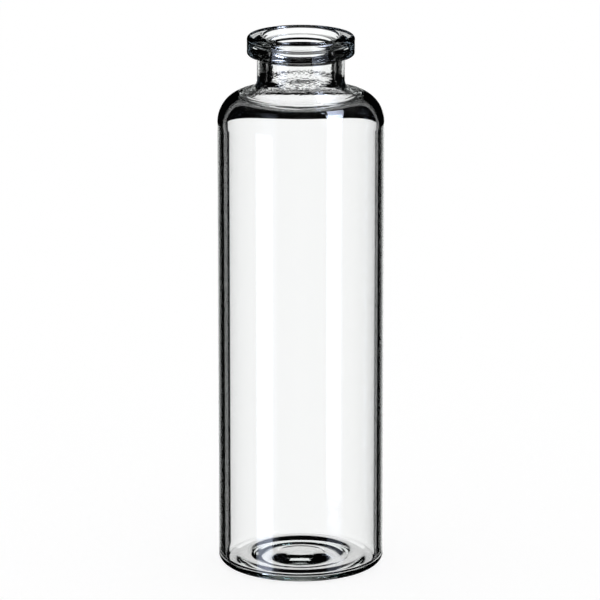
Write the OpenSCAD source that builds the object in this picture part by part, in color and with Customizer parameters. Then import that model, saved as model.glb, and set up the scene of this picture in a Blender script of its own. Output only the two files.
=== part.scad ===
// Crimp neck sample vial, drawn from one glass tube and closed as a single piece.
// The frame's origin is the centre of the foot, and +Z runs up the axis to the mouth.
// The form is one half section turned about the axis, with every blend a true arc.

/* [Body] */
// Outside diameter of the body
body_d = 31; // [28:0.5:36]
// Height from the foot to the top of the lip
height = 101; // [80:1:140]
// Thickness of the body wall
wall_t = 1.2; // [1:0.05:1.4]
// Outside radius where the wall turns under into the foot
heel_r = 1.8; // [1.2:0.1:2.4]

/* [Shoulder] */
// Outside radius of the roll between wall and shoulder
roll_r = 5.7; // [4:0.1:6.5]
// Inside radius of the same roll
roll_inner_r = 4.2; // [3.5:0.1:4.8]
// Slope of the shoulder's outside from the roll up to the neck, in degrees
slope_angle = 14; // [10:1:16]
// Slope of the shoulder's inside, in degrees
slope_inner_angle = 18; // [14:1:20]
// Thickness of the shoulder where its slope leaves the neck
slope_t = 1.8; // [1.5:0.1:2.1]
// Outside radius where the slope turns up into the neck
root_r = 2.2; // [1.2:0.1:2.6]
// Inside radius where the bore opens into the body
throat_r = 2.4; // [1.8:0.1:3.2]

/* [Neck] */
// Outside diameter of the neck
neck_d = 16.3; // [15.6:0.1:17.2]
// Length of the neck from the slope to the underside of the lip
neck_len = 6.3; // [5:0.1:9]
// Diameter of the bore, which takes the stopper
bore_d = 12.6; // [11.6:0.1:13.2]

/* [Lip] */
// Outside diameter of the lip, which the crimp cap grips
lip_d = 20; // [19:0.1:21]
// Height of the lip
lip_h = 3.7; // [3:0.1:4.4]
// Radius on the lip's upper outer edge
lip_top_r = 0.8; // [0.3:0.1:1]
// Radius on the lip's lower outer edge
lip_low_r = 0.6; // [0.3:0.05:1.1]
// Radius in the corner under the lip
lip_root_r = 0.6; // [0.2:0.1:0.8]
// Radius on the edge of the mouth
mouth_r = 0.4; // [0.2:0.1:0.8]

/* [Floor] */
// Thickness of the glass where the floor meets the wall
floor_t = 1.2; // [0.8:0.05:1.5]
// Inside radius where the floor turns up into the wall
corner_r = 0.6; // [0.3:0.1:1.5]
// Height of the floor at the axis, above its edge
centre_h = 0.4; // [0.2:0.05:0.8]
// Diameter of the low ring round the axis
eye_d = 4.5; // [3.5:0.1:6]
// Height of that ring above the floor's edge
eye_h = 0.55; // [0.3:0.05:0.9]
// Diameter of the floor's valley
valley_d = 14.8; // [12:0.1:16]
// Depth of the valley below the floor's edge
valley_h = 0.1; // [0:0.05:0.3]
// Diameter of the outer ring
crest_d = 21.4; // [18.5:0.1:22.5]
// Height of the outer ring above the floor's edge
crest_h = 0.45; // [0.3:0.05:0.8]

/* [Underside] */
// Diameter of the hollow under the base, inside the foot ring
push_d = 17.2; // [15:0.1:19]
// Height of the hollow at the axis
push_h = 0.05; // [0:0.05:0.3]
// Diameter of the hollow's high ring
arch_d = 12.8; // [10:0.1:14]
// Height of that ring
arch_h = 0.2; // [0.1:0.05:0.4]

/* [Hidden] */
$fn = 96;

body_x = body_d / 2;
wall_x = body_x - wall_t;
neck_x = neck_d / 2;
bore_x = bore_d / 2;
lip_x = lip_d / 2;

// Half sections are drawn in two frames: z = 0 is the foot below split_z, and the
// level where the slope's outer line meets the neck above it.
neck_z = height - lip_h - neck_len;
split_z = 20;
lip_z = neck_len;
top_z = neck_len + lip_h;

// Each blend circle is larger than its radius by this much, so that it crosses the
// lines that it runs into instead of only touching them.
lap = 0.0003;

// Straight pieces in each arc of a wave.
wave_steps = 6;

// Overlap of joined shapes, and the length by which cutting shapes reach out of the glass.
over = 1;

// The outward normals of the shoulder's outer and inner lines, and the points where the
// two lines meet the neck and the bore.
outer_up = [sin(slope_angle), cos(slope_angle)];
inner_up = [sin(slope_inner_angle), cos(slope_inner_angle)];
neck_foot = [neck_x, 0];
bore_foot = [
    bore_x,
    (neck_x + root_r - bore_x) * tan(slope_inner_angle) - root_r * tan(slope_angle) - slope_t / outer_up[1]
];

// Centre of a circle at radius x, at distance d above the sloped line through foot whose
// outward normal is up.
function slope_centre(foot, up, x, d) = [x, foot[1] + (d - (x - foot[0]) * up[0]) / up[1]];

function reverse(list) = [for (i = [len(list) - 1:-1:0]) list[i]];

// Points along an arc of radius r about c, from angle a to angle b, without its first.
function arc(c, r, a, b) =
    [for (i = [1:wave_steps]) let (t = a + (b - a) * i / wave_steps) c + r * [cos(t), sin(t)]];

// Points of an S from p out to q, made of two equal arcs and level at both ends.
function wave(p, q) =
    let (w = q[0] - p[0], h = q[1] - p[1], s = sign(h))
    let (r = (w * w + h * h) / (4 * abs(h)), turn = s * 2 * atan(abs(h) / w))
    concat(
        arc(p + [0, s * r], r, -90 * s, turn - 90 * s),
        arc(q - [0, s * r], r, turn + 90 * s, 90 * s)
    );

// Points of a line that swells and sinks through rings, each given as [radius, height].
function waves(rings) = [rings[0], for (i = [1:len(rings) - 1]) each wave(rings[i - 1], rings[i])];

// A round of radius r about c, for an outer corner.
module round_at(c, r) {
    translate(c) circle(r + lap);
}

// The web in an inner corner, between the points where a round of radius r about c
// touches the two sides; deep is a point well inside the corner. The three points run
// counter-clockwise.
module web(c, r, side_a, deep, side_b) {
    difference() {
        polygon([side_a, deep, side_b]);
        round_at(c, r);
    }
}

// Outer form of foot and wall, in the foot's frame.
module lower_outer() {
    heel_c = [body_x - heel_r, heel_r];
    polygon([[0, 0], [heel_c[0], 0], [body_x, heel_c[1]], [body_x, split_z], [0, split_z]]);
    round_at(heel_c, heel_r);
}

// Outer form of wall, shoulder, neck and lip, in the neck's frame.
module upper_outer() {
    roll_c = slope_centre(neck_foot, outer_up, body_x - roll_r, -roll_r);
    root_c = slope_centre(neck_foot, outer_up, neck_x + root_r, root_r);
    lip_low_c = [lip_x - lip_low_r, lip_z + lip_low_r];
    lip_top_c = [lip_x - lip_top_r, top_z - lip_top_r];
    lip_root_c = [neck_x + lip_root_r, lip_z - lip_root_r];
    polygon([
        [0, split_z - neck_z],
        [body_x, split_z - neck_z],
        [body_x, roll_c[1]],
        roll_c + roll_r * outer_up,
        neck_foot,
        [neck_x, lip_z],
        [lip_low_c[0], lip_z],
        [lip_x, lip_low_c[1]],
        [lip_x, lip_top_c[1]],
        [lip_top_c[0], top_z],
        [0, top_z]
    ]);
    round_at(roll_c, roll_r);
    round_at(lip_low_c, lip_low_r);
    round_at(lip_top_c, lip_top_r);
    web(root_c, root_r, [neck_x, root_c[1]], neck_foot - [over, over], root_c - root_r * outer_up);
    web(lip_root_c, lip_root_r, [lip_root_c[0], lip_z], [neck_x - over, lip_z + over], [neck_x, lip_root_c[1]]);
}

// The hollow under the foot, which sinks level into the foot ring.
module push_hollow() {
    rings = [[0, push_h], [arch_d / 2, arch_h], [push_d / 2, 0]];
    polygon(concat([[0, -over], [push_d / 2, -over]], reverse(waves(rings))));
}

// Inside of floor and wall, in the foot's frame: from the axis outwards a low ring, a
// valley, the outer ring and the corner.
module lower_inner() {
    corner_c = [wall_x - corner_r, floor_t + corner_r];
    rings = [
        [0, floor_t + centre_h],
        [eye_d / 2, floor_t + eye_h],
        [valley_d / 2, floor_t - valley_h],
        [crest_d / 2, floor_t + crest_h],
        [corner_c[0], floor_t]
    ];
    polygon(concat(waves(rings), [[wall_x, corner_c[1]], [wall_x, split_z], [0, split_z]]));
    round_at(corner_c, corner_r);
}

// Inside of wall, shoulder, throat and bore, in the neck's frame.
module upper_inner() {
    roll_c = slope_centre(bore_foot, inner_up, wall_x - roll_inner_r, -roll_inner_r);
    throat_c = slope_centre(bore_foot, inner_up, bore_x + throat_r, throat_r);
    mouth_c = [bore_x + mouth_r, top_z - mouth_r];
    polygon([
        [0, split_z - neck_z],
        [wall_x, split_z - neck_z],
        [wall_x, roll_c[1]],
        roll_c + roll_inner_r * inner_up,
        bore_foot,
        [bore_x, top_z + over],
        [0, top_z + over]
    ]);
    round_at(roll_c, roll_inner_r);
    web(throat_c, throat_r, [bore_x, throat_c[1]], bore_foot - [over, over], throat_c - throat_r * inner_up);
    web(mouth_c, mouth_r, [mouth_c[0], top_z], [bore_x - mouth_r, top_z + mouth_r], [bore_x, mouth_c[1]]);
}

module vial() {
    color([0.86, 0.92, 0.9, 0.45])
    rotate_extrude()
    difference() {
        union() {
            lower_outer();
            translate([0, neck_z]) upper_outer();
        }
        push_hollow();
        lower_inner();
        translate([0, neck_z]) upper_inner();
    }
}

vial();
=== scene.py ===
import bpy
import math
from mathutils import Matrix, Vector


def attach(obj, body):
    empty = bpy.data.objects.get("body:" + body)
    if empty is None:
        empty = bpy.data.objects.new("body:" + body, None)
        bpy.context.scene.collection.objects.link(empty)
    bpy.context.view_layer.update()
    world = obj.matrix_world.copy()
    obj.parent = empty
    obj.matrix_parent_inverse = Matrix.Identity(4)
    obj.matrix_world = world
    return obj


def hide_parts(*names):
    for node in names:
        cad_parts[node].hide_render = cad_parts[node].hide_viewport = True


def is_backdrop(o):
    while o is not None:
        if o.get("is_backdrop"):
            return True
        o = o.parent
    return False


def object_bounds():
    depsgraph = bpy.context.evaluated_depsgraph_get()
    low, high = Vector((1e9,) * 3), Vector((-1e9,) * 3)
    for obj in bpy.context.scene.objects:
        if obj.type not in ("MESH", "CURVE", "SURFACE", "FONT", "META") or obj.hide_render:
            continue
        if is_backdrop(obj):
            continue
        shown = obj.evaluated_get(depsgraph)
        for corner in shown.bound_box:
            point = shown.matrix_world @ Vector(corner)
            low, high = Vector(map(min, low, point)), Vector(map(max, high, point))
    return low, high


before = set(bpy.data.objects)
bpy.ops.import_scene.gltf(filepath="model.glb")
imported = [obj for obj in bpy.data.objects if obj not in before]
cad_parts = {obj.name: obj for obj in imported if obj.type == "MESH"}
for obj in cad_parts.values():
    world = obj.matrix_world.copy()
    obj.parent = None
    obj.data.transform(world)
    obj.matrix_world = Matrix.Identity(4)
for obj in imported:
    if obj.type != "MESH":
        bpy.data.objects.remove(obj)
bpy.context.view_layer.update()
mm = 0.001
white = (1, 1, 1, 1)


def hexToLinear(text):
    # an sRGB hex value, through sRGB's own curve
    channels = [int(text[i:i + 2], 16) / 255 for i in (1, 3, 5)]
    return [v / 12.92 if v <= 0.04045 else ((v + 0.055) / 1.055) ** 2.4 for v in channels] + [1.0]


def addNode(tree, kind, settings=None, links=None):
    # a setting goes to the socket of that name or number, or else to the node itself
    node = tree.nodes.new(kind)
    for name, value in (settings or {}).items():
        if isinstance(name, int) or name in node.inputs:
            node.inputs[name].default_value = value
        else:
            setattr(node, name, value)
    for name, source in (links or {}).items():
        tree.links.new(source, node.inputs[name])
    return node


def newMaterial(name):
    material = bpy.data.materials.new(name)
    material.use_nodes = True
    material.node_tree.nodes.clear()
    return material, material.node_tree


def linkObject(name, data):
    thing = bpy.data.objects.new(name, data)
    bpy.context.scene.collection.objects.link(thing)
    return thing


# The camera has a long lens and looks down a little on the mouth.
view = {
    "elevation": 14.75,     # degrees above the horizon
    "distance": 950.0,      # mm from the middle of the vial
    "pixelsPerMm": 5.36,    # at the vial's axis, in a frame of frameSide pixels
    "frameSide": 600,
    "aimHeight": 50.5,      # mm above the foot
    "shiftX": -0.0015,      # share of the frame
    "shiftY": 0.0005,
    "sensorWidth": 36,      # mm
    "clipEnd": 30,          # m
}
tilt = math.radians(view["elevation"])
cameraData = bpy.data.cameras.new("camera")
cameraData.sensor_width = view["sensorWidth"]
cameraData.lens = view["sensorWidth"] * view["pixelsPerMm"] * view["distance"] / view["frameSide"]
cameraData.shift_x = view["shiftX"]
cameraData.shift_y = view["shiftY"]
cameraData.clip_end = view["clipEnd"]
camera = linkObject("camera", cameraData)
camera.location = Vector((0, -math.cos(tilt), math.sin(tilt))) * view["distance"] * mm
camera.location.z += view["aimHeight"] * mm
camera.rotation_euler = (math.pi / 2 - tilt, 0, 0)
bpy.context.scene.camera = camera
print("camera set, lens", round(cameraData.lens, 1), "mm")

# The vial is one wall of glass, turned from its section. Sizes are in mm and degrees.
vialForm = {
    "bodyRadius": 15.5,
    "height": 101.0,
    "wall": 1.2,
    "heelRadius": 1.65,
    "rollRadius": 5.7,        # between wall and shoulder, outside
    "rollInner": 4.7,         # the same roll, inside
    "slope": 14.0,            # of the shoulder, outside
    "slopeInner": 13.1,
    "slopeThickness": 1.5,    # of the shoulder where it leaves the neck
    "rootRadius": 2.2,        # where the shoulder turns up into the neck, outside
    "throatRadius": 5.0,      # where the bore opens into the body
    "neckRadius": 8.15,
    "neckLength": 6.3,
    "lipRadius": 10.0,
    "lipHeight": 3.7,
    "lipTop": 0.8,            # radius on the lip's upper edge
    "lipLow": 0.6,            # radius on its lower edge
    "lipRoot": 0.6,           # radius in the corner under it
    "mouthRadius": 0.7,
    "boreWave": [(0.0, 6.85), (0.9, 5.85), (1.5, 6.1), (3.5, 6.5)],                   # depth in, radius
    "floorWave": [(0, 1.58), (2.0, 1.6), (7.05, 0.9), (10.7, 1.45), (13.4, 1.08)],    # radius, height
    "footWave": [(0, 0.05), (6.4, 0.2), (8.6, 0)],                                    # radius, height
    "cornerRadius": 0.9,      # where the floor turns up into the wall
    "turns": 192,             # steps round the axis
    "arcStep": 0.16,          # longest step along an arc
    "degreeStep": 5.0,        # furthest turn in one step
    "fewestSteps": 2,         # in an arc
    "mostSteps": 60,          # in an arc, unless its turn needs more
    "sameAs": 0.001,          # points closer than this are one point
}


def arcRun(centre, radius, start, end, side=1):
    # points and normals along an arc; side is -1 where the glass lies outside the arc
    f = vialForm
    angle = abs(end - start)
    count = max(f["fewestSteps"], math.ceil(math.radians(angle) * radius / f["arcStep"]))
    count = max(min(count, f["mostSteps"]), math.ceil(angle / f["degreeStep"]))
    run = []
    for i in range(count + 1):
        a = math.radians(start + (end - start) * i / count)
        ca, sa = math.cos(a), math.sin(a)
        run.append((centre[0] + radius * ca, centre[1] + radius * sa, side * ca, side * sa))
    return run


def waveRun(p, q, upward):
    # an S of two equal arcs between two level points; upward is 1 on a floor and -1 on an underside
    w, h = q[0] - p[0], q[1] - p[1]
    if h == 0:
        return [(p[0], p[1], 0, upward), (q[0], q[1], 0, upward)]
    radius = (w * w + h * h) / (4 * abs(h))
    rise = 1 if h > 0 else -1
    along = 1 if w > 0 else -1
    turn = rise * along * math.degrees(2 * math.atan(abs(h) / abs(w)))
    first = arcRun((p[0], p[1] + rise * radius), radius, -90 * rise, -90 * rise + turn, -rise * upward)
    second = arcRun((q[0], q[1] - rise * radius), radius, 90 * rise + turn, 90 * rise, rise * upward)
    return first + second


def wavesRun(points, upward):
    run = []
    for p, q in zip(points[:-1], points[1:]):
        run += waveRun(p, q, upward)
    return run


def vialSection(f):
    # from the axis under the foot, up the outside, over the lip and down the inside to the axis;
    # each point is its radius, its height and the two parts of its normal
    outerR = f["bodyRadius"]
    innerR = outerR - f["wall"]
    neckR, lipR, top = f["neckRadius"], f["lipRadius"], f["height"]
    lipZ = top - f["lipHeight"]
    neckZ = lipZ - f["neckLength"]
    slope, inner = math.radians(f["slope"]), math.radians(f["slopeInner"])
    footX = neckR + f["rootRadius"]
    footZ = neckZ - (footX - neckR) * math.tan(slope) - f["slopeThickness"] / math.cos(slope)

    def onSlope(x, lift):      # height of an arc's centre that lies lift above the outer slope
        return neckZ + (lift - (x - neckR) * math.sin(slope)) / math.cos(slope)

    def onInner(x, lift):      # the same for the inner slope
        return footZ + (lift - (x - footX) * math.sin(inner)) / math.cos(inner)

    run = wavesRun(f["footWave"], -1)
    heel = f["heelRadius"]
    run += arcRun((outerR - heel, heel), heel, -90, 0)
    roll = f["rollRadius"]
    run += arcRun((outerR - roll, onSlope(outerR - roll, -roll)), roll, 0, 90 - f["slope"])
    root = f["rootRadius"]
    run += arcRun((neckR + root, onSlope(neckR + root, root)), root, 270 - f["slope"], 180, -1)
    corner = f["lipRoot"]
    run += arcRun((neckR + corner, lipZ - corner), corner, 180, 90, -1)
    edge = f["lipLow"]
    run += arcRun((lipR - edge, lipZ + edge), edge, -90, 0)
    edge = f["lipTop"]
    run += arcRun((lipR - edge, top - edge), edge, 0, 90)
    mouth = f["mouthRadius"]
    bore = [(top - mouth - depth, radius) for depth, radius in f["boreWave"]]
    run += arcRun((bore[0][1] + mouth, top - mouth), mouth, 90, 180)
    run += [(x, z, nx, nz) for z, x, nz, nx in wavesRun(bore, -1)]      # the same S, on its side
    throat = f["throatRadius"]
    throatX = bore[-1][1] + throat
    run += arcRun((throatX, onInner(throatX, throat)), throat, 180, 270 - f["slopeInner"])
    roll = f["rollInner"]
    run += arcRun((innerR - roll, onInner(innerR - roll, -roll)), roll, 90 - f["slopeInner"], 0, -1)
    corner = f["cornerRadius"]
    floor = f["floorWave"][::-1]
    run += arcRun((innerR - corner, floor[0][1] + corner), corner, 0, -90, -1)
    run += wavesRun(floor, 1)

    section = [run[0]]
    for point in run[1:]:
        if math.dist(point[:2], section[-1][:2]) > f["sameAs"]:
            section.append(point)
    return section


def latheMesh(name, section, turns):
    # the section's two ends become poles on the axis, and every point keeps the section's own normal
    verts, normals, faces = [], [], []
    poles = (section[0], section[-1])
    for x, z, nx, nz in section[1:-1]:
        for k in range(turns):
            a = 2 * math.pi * k / turns
            ca, sa = math.cos(a), math.sin(a)
            verts.append((x * ca * mm, x * sa * mm, z * mm))
            normals.append((nx * ca, nx * sa, nz))
    for x, z, nx, nz in poles:
        verts.append((0, 0, z * mm))
        normals.append((0, 0, 1 if nz > 0 else -1))
    rings = len(section) - 2
    for i in range(rings - 1):
        for k in range(turns):
            j = (k + 1) % turns
            faces.append((i * turns + k, i * turns + j, (i + 1) * turns + j, (i + 1) * turns + k))
    lowPole, highPole, last = rings * turns, rings * turns + 1, (rings - 1) * turns
    for k in range(turns):
        j = (k + 1) % turns
        faces.append((lowPole, j, k))
        faces.append((highPole, last + k, last + j))
    mesh = bpy.data.meshes.new(name)
    mesh.from_pydata(verts, [], faces)
    mesh.polygons.foreach_set("use_smooth", [True] * len(faces))
    mesh.update()
    mesh.normals_split_custom_set_from_vertices(normals)
    return mesh


section = vialSection(vialForm)
vial = linkObject("vial_glass", latheMesh("vial_glass", section, vialForm["turns"]))
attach(vial, "root")
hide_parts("vial")
print("vial turned:", len(section), "section points,", len(vial.data.polygons), "faces")

# Borosilicate 3.3 tube, drawn and then formed in the flame: clear to the eye, bright where light
# goes straight through, black where the wall bends it away, a trace of grey-green along the edges.
# The forming rollers leave fine marks round the neck and low rings on the shoulder. Sizes are in mm.
glassLook = {
    "ior": 1.473,
    "absorbColour": "#C6E6DA",
    "absorbDensity": 16.0,                   # per metre of glass
    "cordWidth": 3.0,                        # cords along the body, from drawing the tube
    "cordSquash": 0.02,                      # their width over their length
    "cordDetail": 1,
    "cordDepth": 0.0006,
    "markSize": 0.55,                        # roller marks on the neck
    "markFlat": 2.5,                         # times wider than high
    "markDepth": 0.016,
    "markRough": 0.004,
    "markZone": (87.5, 89.0, 93.0, 98.5),    # above the foot: starts, is full, is full, ends
    "markReach": (0, 1, 9.5, 11.0),          # the same from the axis
    "ringPitch": 0.8,                        # rings on the shoulder's slope
    "ringDepth": 0.02,
    "ringWander": 0.8,                       # how far a ring strays
    "wanderSize": 5.0,                       # over what length
    "ringZone": (9.6, 10.4, 11.3, 12.0),     # from the axis
    "ringFloor": 89.0,                       # above the foot, so that the floor has none
}


def between(tree, value, zone):
    # 1 between the zone's middle values, 0 outside it, and a soft step at each end
    sides = []
    for none, full in ((zone[0], zone[1]), (zone[3], zone[2])):
        step = {"interpolation_type": "SMOOTHSTEP", "From Min": none, "From Max": full}
        sides.append(addNode(tree, "ShaderNodeMapRange", step, {0: value}).outputs[0])
    return addNode(tree, "ShaderNodeMath", {"operation": "MULTIPLY"}, {0: sides[0], 1: sides[1]}).outputs[0]


def borosilicateGlass(look):
    material, tree = newMaterial("borosilicateGlass")
    output = addNode(tree, "ShaderNodeOutputMaterial")
    where = addNode(tree, "ShaderNodeTexCoord").outputs["Object"]
    inMm = addNode(tree, "ShaderNodeVectorMath", {"operation": "SCALE", "Scale": 1 / mm}, {0: where})
    place = inMm.outputs[0]
    height = addNode(tree, "ShaderNodeSeparateXYZ", {}, {0: place}).outputs["Z"]
    level = addNode(tree, "ShaderNodeVectorMath", {"operation": "MULTIPLY", 1: (1, 1, 0)}, {0: place})
    length = addNode(tree, "ShaderNodeVectorMath", {"operation": "LENGTH"}, {0: level.outputs[0]})
    radius = length.outputs["Value"]

    patterns = {
        "cords": (look["cordSquash"], look["cordWidth"], look["cordDetail"]),
        "marks": (look["markFlat"], look["markSize"], 0),
        "wander": (1, look["wanderSize"], 0),
    }
    noises = {}
    for name, (squash, size, detail) in patterns.items():
        shape = {"operation": "MULTIPLY", 1: (1, 1, squash)}
        squashed = addNode(tree, "ShaderNodeVectorMath", shape, {0: place})
        grain = {"Scale": 1 / size, "Detail": detail}
        noise = addNode(tree, "ShaderNodeTexNoise", grain, {"Vector": squashed.outputs[0]})
        noises[name] = noise.outputs[0]

    upNeck = between(tree, height, look["markZone"])
    nearAxis = between(tree, radius, look["markReach"])
    onNeck = addNode(tree, "ShaderNodeMath", {"operation": "MULTIPLY"}, {0: upNeck, 1: nearAxis})
    marks = addNode(tree, "ShaderNodeMath", {"operation": "MULTIPLY"},
                    {0: noises["marks"], 1: onNeck.outputs[0]})

    strayed = addNode(tree, "ShaderNodeMath", {"operation": "MULTIPLY_ADD", 1: look["ringWander"]},
                      {0: noises["wander"], 2: radius})
    turned = addNode(tree, "ShaderNodeMath", {"operation": "MULTIPLY", 1: 2 * math.pi / look["ringPitch"]},
                     {0: strayed.outputs[0]})
    ripple = addNode(tree, "ShaderNodeMath", {"operation": "SINE"}, {0: turned.outputs[0]})
    aboveFloor = addNode(tree, "ShaderNodeMath", {"operation": "GREATER_THAN", 1: look["ringFloor"]},
                         {0: height})
    onShoulder = addNode(tree, "ShaderNodeMath", {"operation": "MULTIPLY"},
                         {0: between(tree, radius, look["ringZone"]), 1: aboveFloor.outputs[0]})
    rings = addNode(tree, "ShaderNodeMath", {"operation": "MULTIPLY"},
                    {0: ripple.outputs[0], 1: onShoulder.outputs[0]})

    relief = [
        (noises["cords"], look["cordDepth"]),
        (marks.outputs[0], look["markDepth"]),
        (rings.outputs[0], look["ringDepth"]),
    ]
    bump = None
    for pattern, depth in relief:
        layer = addNode(tree, "ShaderNodeBump", {"Distance": depth * mm}, {"Height": pattern})
        if bump:
            tree.links.new(bump.outputs[0], layer.inputs["Normal"])
        bump = layer
    rough = addNode(tree, "ShaderNodeMath", {"operation": "MULTIPLY", 1: look["markRough"]},
                    {0: marks.outputs[0]})

    shader = addNode(tree, "ShaderNodeBsdfPrincipled",
                     {"Base Color": white, "IOR": look["ior"], "Transmission Weight": 1.0},
                     {"Roughness": rough.outputs[0], "Normal": bump.outputs[0]})
    absorb = addNode(tree, "ShaderNodeVolumeAbsorption",
                     {"Color": hexToLinear(look["absorbColour"]), "Density": look["absorbDensity"]})
    tree.links.new(shader.outputs["BSDF"], output.inputs["Surface"])
    tree.links.new(absorb.outputs["Volume"], output.inputs["Volume"])
    return material


vial.data.materials.append(borosilicateGlass(glassLook))
print("glass ready")

# The studio turns and tips with the camera, as if the vial were moved and not the camera. Places are
# in mm from the point where the camera aims, with x to the right, y away from the camera and z up.
studio = {
    "backDepth": 500,                 # the white panel behind the vial
    "backLeft": -123,
    "backRight": 162,
    "backTop": -22,
    "backBottom": -413,
    "backStrength": 1.09,
    "windowColour": "#D8E2FA",        # of the windows and the soft box
    "windowDepth": 600,               # both windows stand on a circle of this radius
    "leftWindow": (-64, -40.5),       # degrees round from the camera's side
    "leftHeights": (-350, 35),
    "leftStrength": 3.4,
    "rightWindow": (37.5, 60),
    "rightHeights": (-350, 850),
    "rightStrength": 0.7,
    "softbox": [(360, -265), (560, -120), (320, 225), (185, 90)],    # x and y of its corners
    "softboxHeight": 600,
    "softboxStrength": 20.0,
    "softboxFade": 0.5,               # share of its strength that is left at its second and third corners
}
rig = linkObject("studio", None)
rig.parent = camera
rig.location = (0, 0, -view["distance"] * mm)
rig.rotation_euler = (tilt - math.pi / 2, 0, 0)      # upright while the camera is at its elevation


def glowing(name, strength, colour=white, fade=1.0):
    # fade is the share of the strength that is left at the far end of u
    material, tree = newMaterial(name)
    output = addNode(tree, "ShaderNodeOutputMaterial")
    where = addNode(tree, "ShaderNodeTexCoord").outputs["UV"]
    across = addNode(tree, "ShaderNodeSeparateXYZ", {}, {0: where})
    level = addNode(tree, "ShaderNodeMapRange", {"To Min": strength, "To Max": strength * fade},
                    {0: across.outputs["X"]})
    light = addNode(tree, "ShaderNodeEmission", {"Color": colour}, {"Strength": level.outputs[0]})
    tree.links.new(light.outputs["Emission"], output.inputs["Surface"])
    return material


def panel(name, corners, material):
    # u runs from the first corner to the second, v from the second to the third
    mesh = bpy.data.meshes.new(name)
    mesh.from_pydata([tuple(v * mm for v in corner) for corner in corners], [], [(0, 1, 2, 3)])
    spread = mesh.uv_layers.new()
    for loop, place in zip(spread.data, ((0, 0), (1, 0), (1, 1), (0, 1))):
        loop.uv = place
    mesh.materials.append(material)
    board = linkObject(name, mesh)
    board.parent = rig
    board.visible_camera = False
    board.visible_diffuse = False
    board.visible_shadow = False
    board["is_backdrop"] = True


def windowPanel(name, span, heights, strength):
    depth = studio["windowDepth"]
    start, end = [(depth * math.sin(a), -depth * math.cos(a)) for a in map(math.radians, span)]
    low, high = heights
    corners = [(*start, low), (*end, low), (*end, high), (*start, high)]
    panel(name, corners, glowing(name, strength, hexToLinear(studio["windowColour"])))


left, right, depth = studio["backLeft"], studio["backRight"], studio["backDepth"]
low, high = studio["backBottom"], studio["backTop"]
panel("backPanel", [(left, depth, low), (right, depth, low), (right, depth, high), (left, depth, high)],
      glowing("backPanel", studio["backStrength"]))
windowPanel("leftWindow", studio["leftWindow"], studio["leftHeights"], studio["leftStrength"])
windowPanel("rightWindow", studio["rightWindow"], studio["rightHeights"], studio["rightStrength"])
softboxGlow = glowing("softbox", studio["softboxStrength"], hexToLinear(studio["windowColour"]),
                      studio["softboxFade"])
panel("softbox", [(x, y, studio["softboxHeight"]) for x, y in studio["softbox"]], softboxGlow)
print("studio lit by a back panel, two windows and a soft box")

# Strengths of the white world: what the camera sees, what fills the floor, and the near darkness
# that the glass sees round the panels.
surroundings = {"seen": 1.0, "fill": 0.5, "dark": 0.001}
world = bpy.data.worlds.new("studioWorld")
bpy.context.scene.world = world
world.use_nodes = True
tree = world.node_tree
tree.nodes.clear()
output = addNode(tree, "ShaderNodeOutputWorld")
rays = addNode(tree, "ShaderNodeLightPath")
levels = {}
for name, strength in surroundings.items():
    level = addNode(tree, "ShaderNodeBackground", {"Color": white, "Strength": strength})
    levels[name] = level.outputs[0]
toCamera = addNode(tree, "ShaderNodeMixShader", {},
                   {0: rays.outputs["Is Camera Ray"], 1: levels["dark"], 2: levels["seen"]})
toFloor = addNode(tree, "ShaderNodeMixShader", {},
                  {0: rays.outputs["Is Diffuse Ray"], 1: toCamera.outputs[0], 2: levels["fill"]})
tree.links.new(toFloor.outputs[0], output.inputs["Surface"])

# The floor is white paper that glows a little; the glass neither mirrors it nor shows it.
floorSheet = {
    "reach": 3.0,       # m from the vial to each edge
    "drop": 0.0002,     # m below the foot, so that the two don't share a plane
    "glow": 0.85,
    "grey": 0.3,
}
reach = floorSheet["reach"]
corners = [(-reach, -reach, 0), (reach, -reach, 0), (reach, reach, 0), (-reach, reach, 0)]
floorMesh = bpy.data.meshes.new("floor")
floorMesh.from_pydata(corners, [], [(0, 1, 2, 3)])
floor = linkObject("floor", floorMesh)
floor.location.z = -floorSheet["drop"]
floor.visible_glossy = False
floor.visible_transmission = False
floor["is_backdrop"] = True
material, tree = newMaterial("floorPaper")
output = addNode(tree, "ShaderNodeOutputMaterial")
glow = addNode(tree, "ShaderNodeEmission", {"Color": white, "Strength": floorSheet["glow"]})
matte = addNode(tree, "ShaderNodeBsdfDiffuse", {"Color": (*[floorSheet["grey"]] * 3, 1)})
both = addNode(tree, "ShaderNodeAddShader", {}, {0: glow.outputs[0], 1: matte.outputs[0]})
tree.links.new(both.outputs[0], output.inputs["Surface"])
floorMesh.materials.append(material)
print("floor and world ready")

# Light crosses many walls of glass, so its paths are long.
lightPaths = {"through": 32, "mirrored": 16}
scene = bpy.context.scene
scene.view_settings.view_transform = "Standard"
scene.cycles.max_bounces = lightPaths["through"]
scene.cycles.transmission_bounces = lightPaths["through"]
scene.cycles.glossy_bounces = lightPaths["mirrored"]
scene.cycles.sample_clamp_indirect = 0

low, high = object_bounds()
